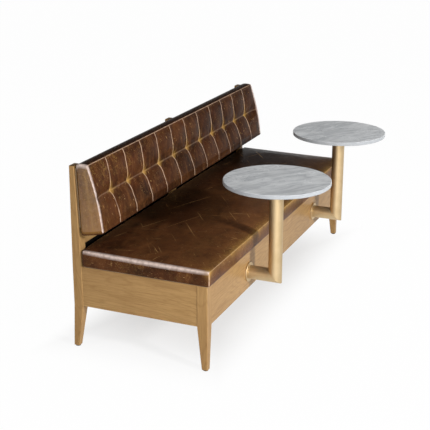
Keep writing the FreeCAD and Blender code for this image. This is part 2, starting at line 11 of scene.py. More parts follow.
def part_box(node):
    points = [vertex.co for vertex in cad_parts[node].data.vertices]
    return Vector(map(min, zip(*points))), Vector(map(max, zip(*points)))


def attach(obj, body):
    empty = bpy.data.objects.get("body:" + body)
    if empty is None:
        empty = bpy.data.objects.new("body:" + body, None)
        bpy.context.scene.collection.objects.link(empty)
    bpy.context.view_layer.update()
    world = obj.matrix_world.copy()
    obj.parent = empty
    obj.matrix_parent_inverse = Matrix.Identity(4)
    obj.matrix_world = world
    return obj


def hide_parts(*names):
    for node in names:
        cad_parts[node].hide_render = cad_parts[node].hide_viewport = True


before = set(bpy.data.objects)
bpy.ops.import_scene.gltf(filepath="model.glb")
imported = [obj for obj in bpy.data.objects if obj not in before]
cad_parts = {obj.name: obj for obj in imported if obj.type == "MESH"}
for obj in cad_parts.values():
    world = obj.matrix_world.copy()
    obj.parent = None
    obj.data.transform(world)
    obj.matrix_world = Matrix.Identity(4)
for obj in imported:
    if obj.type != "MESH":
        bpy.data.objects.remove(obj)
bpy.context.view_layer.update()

bl_info = {
    "name": "Restaurant bench",
    "version": (1, 0, 0),
    "blender": (4, 5, 0),
    "location": "3D View > Sidebar > Bench",
    "description": "Dresses the bench frame with leather cushions, oak, brass and marble",
    "category": "Object",
}

OAK_ALONG = {
    "X": ("front_apron", "rear_apron_left", "rear_apron_right"),
    "Y": ("left_end_panel", "right_end_panel"),
    "Z": ("front_left_leg", "front_right_leg", "back_left_post", "back_centre_post", "back_right_post"),
}
FRAMING = ("rear_seat_rail", "left_outer_bearer", "left_inner_bearer", "centre_bearer",
           "right_inner_bearer", "right_outer_bearer", "front_left_corner_block",
           "front_right_corner_block", "rear_left_corner_block", "rear_right_corner_block")
PLYWOOD = ("seat_deck", "back_board")
# Boards behind the seat pad, finished near black as painted shade in the gap there
LINING = ("rear_lining_left", "rear_lining_right")
STEEL = ("left_table_plate", "right_table_plate", "left_backing_plate", "right_backing_plate",
         "arm_bolts", "deck_screws", "back_screws")
GLIDES = ("front_left_glide", "front_right_glide", "rear_left_glide", "rear_right_glide")
BRASS = tuple(f"{side}_table_{piece}"
              for side in ("left", "right") for piece in ("flange", "arm", "upright"))
MARBLE = ("left_marble_top", "right_marble_top")

# Turns of the long scratches on each cushion, in radians about the three axes
SEAT_SCRATCHES = ((0, 0, 0.35), (0, 0, 1.3), (0, 0, 2.5))
BACK_SCRATCHES = ((0, 1.3, 0), (0, 2.0, 0))

# Light and dark tone of the timber and the plywood inside
FRAMING_TONES = ((0.46, 0.32, 0.19), (0.30, 0.19, 0.10))
PLYWOOD_TONES = ((0.55, 0.42, 0.27), (0.42, 0.30, 0.18))

# Distance over which the wear attributes fade from one to nothing, in metres
REACH = 0.03

# Distances from an end at which its pale band, partly wear and partly a painted highlight, starts and is
# full, in metres
PALE_HIGHLIGHT_START = 0.0175
PALE_HIGHLIGHT_FULL = 0.005

# Cuts beside an edge of a box, as shares of its rounding
EDGE_SHARES = (0, 0.22, 0.45, 0.7, 1, 1.5)

# Distances below which two places count as one and a length counts as nothing, in metres
SAME_PLACE = 1e-6
NO_LENGTH = 1e-9

# Cloth of the cushion covers while they swell, and the frames that it is given to settle
CLOTH_SETTINGS = {
    "quality": 6,
    "mass": 0.3,
    "tension_stiffness": 12,
    "compression_stiffness": 12,
    "shear_stiffness": 5,
    "bending_stiffness": 2.0,
    "air_damping": 4,
    "use_pressure": True,
}
CLOTH_FRAMES = 20

# Lamps: name, place, what it looks at and its width and height, in metres, and its power in watts
LAMPS = (
    ("key_light", (-2.6, -5.8, 3.1), (0, 0.1, 0.4), (0.6, 0.6), 305),
    ("soft_light", (-3.6, -1.9, 1.0), (-0.4, 0.1, 0.45), (2.4, 1.6), 60),
    ("edge_light", (-2.6, 1.7, 3.0), (-0.9, 0.15, 0.45), (0.8, 0.8), 14),
    ("rear_light", (0.3, 4.6, 1.6), (0, 0.4, 0.5), (2.4, 1.6), 60),
    ("top_light", (1.2, -1.5, 2.9), (0.7, -0.3, 0.74), (1.8, 1.0), 24),
)

# Strength of the dim light from all round
WORLD_STRENGTH = 0.06

# Floor and the low round backdrop that closes it, in metres, and the number of the backdrop's sides
FLOOR_REACH = 40
BACKDROP_RADIUS = 0.97 * FLOOR_REACH
BACKDROP_HEIGHT = 6
BACKDROP_SIDES = 72

# Camera: place and furthest distance in metres, turn and rise in degrees, lens and sensor in millimetres
CAMERA_PLACE = (-4.4767, -1.6784, 2.0006)
CAMERA_FAR = 100
CAMERA_TURN = -66.907
CAMERA_RISE = 18.619
CAMERA_LENS = 83.74
CAMERA_SENSOR = 36


# Properties

def length(name, description, default):
    """Property for a length in metres."""
    return bpy.props.FloatProperty(name=name, description=description, default=default, min=0,
                                   unit="LENGTH", precision=4)


def colour(name, description, default):
    """Property for a colour."""
    return bpy.props.FloatVectorProperty(name=name, description=description, default=default, size=3,
                                         min=0, max=1, subtype="COLOR")


class BenchSizes(bpy.types.PropertyGroup):
    """Soft forms and rails that are added to the frame"""
    seat_edge: length("Seat edge radius", "Rounding of the seat pad's edges", 0.009)
    seat_crown: length("Seat crown", "Rise of the seat pad's middle above its edges", 0.008)
    seat_swell: length("Seat side swell", "How far the seat's boxing stands out between its seams", 0.003)
    welt: length("Welt height", "Height of the sewn ridge along the seat's top edges", 0.0016)
    biscuit: length("Biscuit bulge", "Swelling of each tufted field of the back", 0.014)
    seam_bulge: length("Seam bulge", "Swelling of the back along an upright seam", 0.009)
    tuft_depth: length("Tuft depth", "Depth of each tuft below the back's front edges", 0.016)
    middle_depth: length("Middle seam depth", "Depth of the sewn middle line between two tufts", 0.005)
    middle_arch: length("Middle seam arch", "Rise of the middle line between two tufts", 0.006)
    end_knee: length("End knee", "How far the back's ends stand out at half height", 0.010)
    end_bulge: length("End bulge", "Swelling of each row at the back's ends", 0.003)
    seat_rear_full: length("Seat rear fullness", "Rise of the seat pad's rear edge between its ends", 0.008)
    seat_rear_rise: length("Seat rear rise", "Rise of the seat pad toward the back", 0.006)
    rail_overlap: length("Rail overlap", "How far the lower back rails rise behind the back board", 0.020)
    rail_edge: length("Rail edge", "Easing of the lower back rails' edges", 0.0015)


class BenchColours(bpy.types.PropertyGroup):
    """Finishes of the bench"""
    # The dark tone is also the colour of the painted shade.
    leather_dark: colour("Leather, dark", "Deepest tone of the waxed leather", (0.0160, 0.0066, 0.0038))
    leather_mid: colour("Leather, middle", "Main tone of the waxed leather", (0.058, 0.0180, 0.0075))
    # The light tone is also the colour of the painted light.
    leather_light: colour("Leather, light", "Tone of the worn patches", (0.200, 0.078, 0.026))
    leather_rubbed: colour("Leather, rubbed", "Tone of rubbed seams and edges", (0.62, 0.42, 0.29))
    # The pale ends are partly worn leather and partly a painted highlight.
    leather_pale: colour("Leather, pale edges", "Tone of the worn end edges", (0.82, 0.66, 0.59))
    leather_scratch: colour("Leather, scratches", "Tone of the long scratches", (0.50, 0.29, 0.115))
    leather_tuft: colour("Leather, tufts",
                         "Golden tone of rubbed tufts, scuffs and the seat's front edge", (0.56, 0.33, 0.085))
    oak_light: colour("Oak, light", "Early wood of the oak", (0.485, 0.295, 0.117))
    oak_dark: colour("Oak, dark", "Late wood of the oak", (0.25, 0.125, 0.045))
    brass: colour("Brass", "Satin brass of the tubes", (0.66, 0.505, 0.30))
    marble: colour("Marble", "Ground of the table tops", (0.76, 0.775, 0.785))
    vein: colour("Marble vein", "Soft veins of the table tops", (0.46, 0.48, 0.50))
    # The lining's near-black stain is painted shade for the gap behind the seat pad.
    lining: colour("Lining", "Stained board behind the seat pad", (0.006, 0.0048, 0.0038))
    floor: colour("Floor", "Plain studio floor", (0.82, 0.82, 0.82))


# Materials

class Shader:
    """Node graph of one material, with short calls for the nodes that it uses."""

    def __init__(self, name):
        self.material = bpy.data.materials.new(name)
        self.material.use_nodes = True
        self.tree = self.material.node_tree
        self.surface = self.tree.nodes["Principled BSDF"]

    def feed(self, socket, value):
        if isinstance(value, bpy.types.NodeSocket):
            self.tree.links.new(value, socket)
        elif socket.type == "RGBA" and len(value) == 3:
            socket.default_value = (*value, 1)
        else:
            socket.default_value = value

    def add(self, kind, inputs=(), **settings):
        node = self.tree.nodes.new("ShaderNode" + kind)
        for key, value in settings.items():
            setattr(node, key, value)
        for key, value in dict(inputs).items():
            self.feed(node.inputs[key], value)
        return node

    def finish(self, **inputs):
        for key, value in inputs.items():
            self.feed(self.surface.inputs[key.replace("_", " ")], value)
        return self.material

    def place(self, scale=(1, 1, 1), turn=(0, 0, 0), shift=(0, 0, 0)):
        """Coordinates in the bench's own frame, turned and then stretched."""
        coords = self.add("TexCoord").outputs["Object"]
        if any(turn):
            coords = self.add("Mapping", {"Vector": coords, "Rotation": turn}).outputs["Vector"]
        return self.add("Mapping", {"Vector": coords, "Scale": scale, "Location": shift}).outputs["Vector"]

    def noise(self, coords, scale, detail=3, roughness=0.55, distortion=0):
        inputs = {"Vector": coords, "Scale": scale, "Detail": detail, "Roughness": roughness,
                  "Distortion": distortion}
        return self.add("TexNoise", inputs).outputs["Fac"]

    def ramp(self, factor, *stops):
        """Colour or grey along stops of (position, value)."""
        node = self.add("ValToRGB", {"Fac": factor})
        points = node.color_ramp.elements
        while len(points) < len(stops):
            points.new(0.5)
        for point, (position, value) in zip(points, stops):
            point.position = position
            point.color = (*value, 1) if hasattr(value, "__len__") else (value, value, value, 1)
        return node.outputs["Color"]

    def mix(self, factor, first, second):
        node = self.add("Mix", data_type="RGBA")
        for index, value in ((0, factor), (6, first), (7, second)):
            self.feed(node.inputs[index], value)
        return node.outputs[2]

    def math(self, operation, first, second=0, clamp=False):
        node = self.add("Math", operation=operation, use_clamp=clamp)
        self.feed(node.inputs[0], first)
        self.feed(node.inputs[1], second)
        return node.outputs[0]

    def ridge(self, field):
        """Distance of a noise from its middle, so that low values follow wandering lines."""
        return self.math("ABSOLUTE", self.math("SUBTRACT", field, 0.5))

    def facing(self, axis):
        """How far the surface faces along one axis, from minus one to one."""
        return self.add("SeparateXYZ", {0: self.add("NewGeometry").outputs["Normal"]}).outputs[axis]

    def attribute(self, name):
        return self.add("Attribute", attribute_name=name).outputs["Fac"]

    def bump(self, height, strength, distance, below=None):
        inputs = {"Height": height, "Strength": strength, "Distance": distance}
        if below is not None:
            inputs["Normal"] = below
        return self.add("Bump", inputs).outputs["Normal"]


def stretched(axis, along, across):
    """Texture scale that is drawn out along one axis."""
    return tuple(along if name == axis else across for name in "XYZ")


def oak(colours, axis):
    """Lacquered oak with its grain along one axis: nested figure, fine fibre and dark pores."""
    s = Shader(f"oak_along_{axis.lower()}")
    figure = s.noise(s.place(stretched(axis, 1.5, 6.5)), 1.0, 2, 0.5, 0.5)
    rings = s.math("SINE", s.math("MULTIPLY", figure, 16 * math.tau))
    fibre = s.noise(s.place(stretched(axis, 7, 170)), 1.0, 4, 0.6)
    pores = s.noise(s.place(stretched(axis, 26, 520)), 1.0, 2, 0.5)
    tone = s.noise(s.place(stretched(axis, 0.9, 6), (0, 0, 0), (3, 1, 2)), 1.0, 2, 0.5)
    light = tuple(colours.oak_light)
    dark = tuple(colours.oak_dark)
    wood = s.mix(s.ramp(rings, (0.0, 0.0), (0.55, 0.05), (1.0, 0.27)), light, dark)
    wood = s.mix(s.ramp(fibre, (0.36, 0.36), (0.6, 0.0)), wood, dark)
    wood = s.mix(s.ramp(pores, (0.30, 0.5), (0.42, 0.0)), wood, dark)
    wood = s.mix(s.ramp(tone, (0.32, 0.35), (0.68, 0.0)), wood, dark)
    end_grain = s.ramp(s.math("ABSOLUTE", s.facing(axis)), (0.8, 0.0), (0.95, 0.75))
    wood = s.mix(end_grain, wood, tuple(c * 0.4 for c in dark))
    ridges = s.bump(fibre, 0.12, 0.0006)
    gloss = s.ramp(fibre, (0.3, 0.42), (0.7, 0.32))
    return s.finish(Base_Color=wood, Roughness=gloss, Normal=ridges, Specular_IOR_Level=0.12,
                    Coat_Weight=0.03, Coat_Roughness=0.12)


def plain_timber(name, light, dark, axis, sheen=0.3):
    """Plain timber or board for the parts behind and inside the bench."""
    s = Shader(name)
    fibre = s.noise(s.place(stretched(axis, 4, 90)), 1.0, 4, 0.6)
    tone = s.noise(s.place(stretched(axis, 2, 9)), 1.0, 2)
    wood = s.mix(s.ramp(fibre, (0.35, 0.7), (0.65, 0.0)), light, dark)
    wood = s.mix(s.ramp(tone, (0.3, 0.4), (0.7, 0.0)), wood, dark)
    relief = s.bump(fibre, 0.2, 0.0008)
    return s.finish(Base_Color=wood, Roughness=0.65, Normal=relief, Specular_IOR_Level=sheen)


def satin_brass(colours):
    """Brass brushed along the uprights, a little tarnished in clouds."""
    s = Shader("satin_brass")
    brushed = s.noise(s.place((240, 240, 9)), 1.0, 3, 0.6)
    cloud = s.noise(s.place(), 14, 3)
    base = tuple(colours.brass)
    tarnish = tuple(c * k for c, k in zip(base, (0.80, 0.76, 0.68)))
    metal = s.mix(s.ramp(cloud, (0.4, 0.55), (0.65, 0.0)), base, tarnish)
    gloss = s.ramp(brushed, (0.3, 0.45), (0.7, 0.54))
    relief = s.bump(brushed, 0.05, 0.0003)
    return s.finish(Base_Color=metal, Metallic=1.0, Roughness=gloss, Normal=relief)


def dull_steel():
    """Plain steel of the plates, bolts and screws."""
    s = Shader("dull_steel")
    cloud = s.noise(s.place(), 60, 4)
    metal = s.ramp(cloud, (0.3, (0.30, 0.30, 0.31)), (0.7, (0.44, 0.44, 0.45)))
    return s.finish(Base_Color=metal, Metallic=1.0, Roughness=s.ramp(cloud, (0.3, 0.5), (0.7, 0.36)))


def glide_plastic():
    """Dark plastic of the foot glides."""
    s = Shader("glide_plastic")
    speck = s.noise(s.place(), 900, 2)
    plastic = s.ramp(speck, (0.3, (0.018, 0.017, 0.016)), (0.7, (0.034, 0.032, 0.03)))
    return s.finish(Base_Color=plastic, Roughness=0.55, Normal=s.bump(speck, 0.15, 0.0003))


def grey_marble(colours):
    """Honed grey marble: clouded ground with soft slanting veins, darker round the rim."""
    s = Shader("grey_marble")
    cloud = s.noise(s.place((1, 1, 1), (0, 0, 0.5)), 7, 5, 0.6, 0.6)
    drift = s.noise(s.place((2.2, 8.5, 3), (0, 0, 0.62)), 1.0, 4, 0.55, 1.3)
    lines = s.ridge(drift)
    ground = tuple(colours.marble)
    vein = tuple(colours.vein)
    pale = tuple(min(1, c * 1.18) for c in ground)
    stone = s.mix(s.ramp(cloud, (0.35, 0.0), (0.7, 0.8)), ground, pale)
    stone = s.mix(s.ramp(lines, (0.0, 0.7), (0.035, 0.25), (0.09, 0.0)), stone, vein)
    fine = s.noise(s.place((16, 55, 30), (0, 0, 0.7)), 1.0, 4, 0.65, 0.8)
    stone = s.mix(s.ramp(fine, (0.36, 0.5), (0.52, 0.0)), stone, vein)
    stone = s.mix(s.ramp(s.facing("Z"), (0.3, 0.95), (0.9, 0.0)), stone, vein)
    gloss = s.ramp(cloud, (0.3, 0.22), (0.7, 0.3))
    return s.finish(Base_Color=stone, Roughness=gloss, Specular_IOR_Level=0.2)


def worn_leather(colours, name, streak_scale, scratch_turns, shine):
    """Waxed leather: clouded brown, scratched, rubbed where the cushion's attributes say so, and given
    painted light, painted shade and painted end highlights from them too.
    """
    s = Shader(name)
    dark, middle, light, rubbed, pale, scratch, tuft = (
        tuple(getattr(colours, "leather_" + tone))
        for tone in ("dark", "mid", "light", "rubbed", "pale", "scratch", "tuft"))
    cloud = s.noise(s.place(), 7, 4, 0.6, 0.4)
    mottle = s.noise(s.place(), 42, 5, 0.65, 0.3)
    streak = s.noise(s.place(streak_scale), 1.0, 4, 0.65, 0.5)
    hide = s.mix(s.ramp(cloud, (0.36, 0.0), (0.62, 1.0)), dark, middle)
    hide = s.mix(s.ramp(mottle, (0.46, 0.0), (0.76, 0.24)), hide, light)
    hide = s.mix(s.ramp(streak, (0.46, 0.0), (0.78, 0.55)), hide, light)
    blotch = s.ramp(s.noise(s.place(), 15, 4, 0.6, 0.8), (0.36, 0.45), (0.62, 1.0))
    # Painted light, partly real fading: lighter where the cushion says so, in clouded blotches.
    hide = s.mix(s.math("MULTIPLY", s.attribute("faded"), blotch), hide, light)
    # Painted shade: darker toward the dark tone where the cushion's painted shade attribute says so.
    hide = s.mix(s.attribute("waxed"), hide, dark)
    hide = scratched(s, hide, scratch_turns, scratch, rubbed)
    hide = worn(s, hide, rubbed, tuft, pale)

    grain = s.add("TexVoronoi", {"Vector": s.place(), "Scale": 520.0, "Randomness": 1.0},
                  feature="F1").outputs["Distance"]
    relief = s.bump(grain, 0.1, 0.0006)
    relief = s.bump(mottle, 0.1, 0.0016, relief)
    gloss = s.ramp(mottle, (0.3, 0.26), (0.7, 0.4))
    return s.finish(Base_Color=hide, Roughness=gloss, Normal=relief, Specular_IOR_Level=shine)


def scratched(s, hide, turns, scratch, rubbed):
    """Adds broken creases, long scratches at the given turns and clusters of pale specks."""
    creases = s.ramp(s.ridge(s.noise(s.place(), 13, 2.5, 0.5, 1.1)), (0.0, 0.7), (0.0035, 0.0))
    broken = s.ramp(s.noise(s.place(), 19, 3), (0.52, 0.0), (0.62, 1.0))
    marks = s.math("MULTIPLY", creases, broken)
    for number, turn in enumerate(turns):
        field = s.noise(s.place((1.3, 170, 170), turn, (7 * number, 3 * number, 0)), 1.0, 2, 0.5, 0.5)
        marks = s.math("MAXIMUM", marks, s.ramp(field, (0.71, 0.0), (0.76, 1.0)))
    hide = s.mix(s.math("MULTIPLY", marks, 0.9), hide, scratch)
    specks = s.ramp(s.noise(s.place(), 230, 1.5, 0.5), (0.70, 0.0), (0.77, 0.8))
    clusters = s.ramp(s.noise(s.place(), 11, 2), (0.48, 0.0), (0.62, 1.0))
    return s.mix(s.math("MULTIPLY", s.math("MULTIPLY", specks, clusters), 0.5), hide, rubbed)


def worn(s, hide, rubbed, tuft, pale):
    """Adds the wear that a cushion carries: rubbed lines, golden tufts and scuffs, and pale ends that are
    partly worn and partly a painted highlight.
    """
    patchy = s.ramp(s.noise(s.place(), 55, 3, 0.6), (0.3, 0.55), (0.6, 1.0))
    hide = s.mix(s.math("MULTIPLY", rubbed_lines(s), patchy, True), hide, rubbed)
    uneven = s.ramp(s.noise(s.place((40, 55, 7)), 1.0, 3, 0.6), (0.3, 0.45), (0.65, 1.0))
    hide = s.mix(s.math("MULTIPLY", s.attribute("tuft_star"), uneven), hide, tuft)
    lines = s.ridge(s.noise(s.place((1, 1, 0.5)), 58, 3, 0.6, 1.2))
    scuffs = s.math("MULTIPLY", s.ramp(lines, (0.004, 0.8), (0.02, 0.0)), s.attribute("scuffed"))
    hide = s.mix(scuffs, hide, tuft)
    # Pale ends: partly wear, partly a painted highlight along the end edges.
    ends = s.ramp(s.attribute("pale_near"), (1 - PALE_HIGHLIGHT_START / REACH, 0.0), (1 - PALE_HIGHLIGHT_FULL / REACH, 0.95))
    return s.mix(s.math("MULTIPLY", ends, patchy), hide, pale)


def rubbed_lines(s):
    """Wear of sewn lines and edges, from the distances that the cushions carry."""
    total = None
    for name, width, amount in (("seam_near", 0.0040, 0.95), ("middle_near", 0.0045, 0.16),
                                ("edge_near", 0.0032, 0.75), ("front_corner_near", 0.0065, 0.9)):
        line = s.ramp(s.attribute(name), (1 - width / REACH, 0.0), (1 - 0.3 * width / REACH, amount))
        total = line if total is None else s.math("MAXIMUM", total, line)
    return total


# Meshes

def new_mesh(name, points, faces):
    """Smooth mesh object in the scene."""
    mesh = bpy.data.meshes.new(name)
    mesh.from_pydata([tuple(p) for p in points], [], faces)
    mesh.polygons.foreach_set("use_smooth", [True] * len(mesh.polygons))
    mesh.update()
    obj = bpy.data.objects.new(name, mesh)
    bpy.context.scene.collection.objects.link(obj)
    return obj


def store(obj, name, values):
    """Keeps one number for each vertex, for the material to read."""
    attribute = obj.data.attributes.new(name, "FLOAT", "POINT")
    attribute.data.foreach_set("value", np.ascontiguousarray(values, dtype=np.float32))


def points_of(mesh):
    flat = np.empty(len(mesh.vertices) * 3, dtype=np.float32)
    mesh.vertices.foreach_get("co", flat)
    return flat.reshape(-1, 3).astype(float)


def nearness(distance):
    """One on a line, falling to nothing at REACH from it."""
    return np.clip(1 - np.abs(distance) / REACH, 0, 1)


def swell(obj, sewn, pressure, cap):
    """Swells a cushion by cloth pressure; sewn points hold, and no point moves further than cap."""
    scene = bpy.context.scene
    start = points_of(obj.data)
    pins = obj.vertex_groups.new(name="sewn")
    for weight in np.unique(sewn):
        if weight > 0:
            pins.add(np.flatnonzero(sewn == weight).tolist(), float(weight), "REPLACE")
    cloth = obj.modifiers.new("swell", "CLOTH")
    settings = cloth.settings
    for key, value in CLOTH_SETTINGS.items():
        setattr(settings, key, value)
    settings.uniform_pressure_force = pressure
    settings.vertex_group_mass = pins.name
    settings.effector_weights.gravity = 0
    cloth.collision_settings.use_collision = False
    cloth.point_cache.frame_start = 1
    cloth.point_cache.frame_end = CLOTH_FRAMES
    for step in range(1, CLOTH_FRAMES + 1):
        scene.frame_set(step)
    shaped = obj.evaluated_get(bpy.context.evaluated_depsgraph_get())
    move = points_of(shaped.data) - start
    obj.modifiers.remove(cloth)
    scene.frame_set(1)
    reach = np.linalg.norm(move, axis=1)
    move *= np.minimum(1, cap / np.maximum(reach, NO_LENGTH))[:, None]
    obj.data.vertices.foreach_set("co", (start + move).astype(np.float32).ravel())
    obj.data.update()


def subdivide(obj):
    """Smooths a cushion by one subdivision."""
    modifier = obj.modifiers.new("smooth", "SUBSURF")
    modifier.levels = 1
    modifier.render_levels = 1


def box_surface(xs, ys, zs):
    """Grid places and quads on the surface of a box that is cut at the given coordinates."""
    index = {}
    places = []

    def point(place):
        if place not in index:
            index[place] = len(places)
            places.append(place)
        return index[place]

    faces = []
    ends = (len(xs) - 1, len(ys) - 1, len(zs) - 1)
    for axis in range(3):
        first, second = [(1, 2), (2, 0), (0, 1)][axis]
        for side in (0, ends[axis]):
            for i in range(ends[first]):
                for j in range(ends[second]):
                    corners = []
                    for di, dj in ((0, 0), (1, 0), (1, 1), (0, 1)):
                        place = [0, 0, 0]
                        place[axis] = side
                        place[first] = i + di
                        place[second] = j + dj
                        corners.append(point(tuple(place)))
                    faces.append(corners if side else corners[::-1])
    grid = np.array(places)
    points = np.column_stack([np.asarray(values)[grid[:, axis]]
                              for axis, values in enumerate((xs, ys, zs))])
    return points, faces


def cuts(low, high, step, radius, extra=()):
    """Coordinates from low to high: fine within the edge rounding, then even steps."""
    fine = [radius * share for share in EDGE_SHARES]
    count = max(2, round((high - low - 2 * fine[-1]) / step))
    middle = np.linspace(low + fine[-1], high - fine[-1], count + 1)
    edge = np.array(fine[:-1])
    values = np.concatenate([low + edge, middle, high - edge[::-1], extra])
    return np.unique(np.round(values, 6))


def smooth_noise(points, scale, seed, waves=9):
    """Even, repeatable unevenness, mostly between minus one and one."""
    rng = np.random.default_rng(seed)
    total = np.zeros(len(points))
    for _ in range(waves):
        wave = rng.normal(size=3) * scale
        total += np.sin(points @ wave + rng.uniform(0, math.tau))
    return total / (waves // 2)


def fit_material(obj, material):
    """Gives a new piece its finish and its place on the bench."""
    obj.data.materials.append(material)
    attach(obj, "root")


def paint(names, material):
    """Gives nodes of the frame their finish."""
    for name in names:
        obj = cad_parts[name]
        if not obj.material_slots:
            obj.data.materials.append(None)
        for place in obj.material_slots:
            place.material = material


# Operators

class BENCH_OT_oak_frame(bpy.types.Operator):
    """Finish the legs, posts, aprons and end panels in lacquered oak and add the lower back rails"""
    bl_idname = "bench.oak_frame"
    bl_label = "Oak frame"

    def execute(self, context):
        for axis, names in OAK_ALONG.items():
            wood = oak(context.scene.bench_colours, axis)
            paint(names, wood)
            if axis == "X":
                self.lower_rails(wood, context.scene.bench_sizes)
        return {"FINISHED"}

    def lower_rails(self, wood, sizes):
        """Rails between two posts, on the lining, that close the gap behind the back's lower edge."""
        for side in ("left", "right"):
            low, high = (np.array(corner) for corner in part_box("rear_lining_" + side))
            low[2] = high[2]
            high[2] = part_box("back_board")[0][2] + sizes.rail_overlap
            rail = new_mesh("lower_back_rail_" + side, *box_surface(*zip(low, high)))
            rail.data.polygons.foreach_set("use_smooth", [False] * len(rail.data.polygons))
            eased = rail.modifiers.new("eased_edges", "BEVEL")
            eased.width = sizes.rail_edge
            eased.segments = 2
            fit_material(rail, wood)


class BENCH_OT_inner_frame(bpy.types.Operator):
    """Finish the framing, boards, fixings and foot glides"""
    bl_idname = "bench.inner_frame"
    bl_label = "Inner frame"

    def execute(self, context):
        paint(FRAMING, plain_timber("framing_timber", *FRAMING_TONES, "X"))
        paint(PLYWOOD, plain_timber("birch_plywood", *PLYWOOD_TONES, "X"))
        # The lining is stained near black as painted shade for the gap behind the seat pad.
        lining = tuple(context.scene.bench_colours.lining)
        dark = tuple(c * 0.6 for c in lining)
        paint(LINING, plain_timber("black_lining", lining, dark, "X", sheen=0.03))
        paint(STEEL, dull_steel())
        paint(GLIDES, glide_plastic())
        return {"FINISHED"}


class BENCH_OT_tables(bpy.types.Operator):
    """Finish the brass arms and the marble tops of both tables"""
    bl_idname = "bench.tables"
    bl_label = "Tables"

    def execute(self, context):
        paint(BRASS, satin_brass(context.scene.bench_colours))
        paint(MARBLE, grey_marble(context.scene.bench_colours))
        return {"FINISHED"}


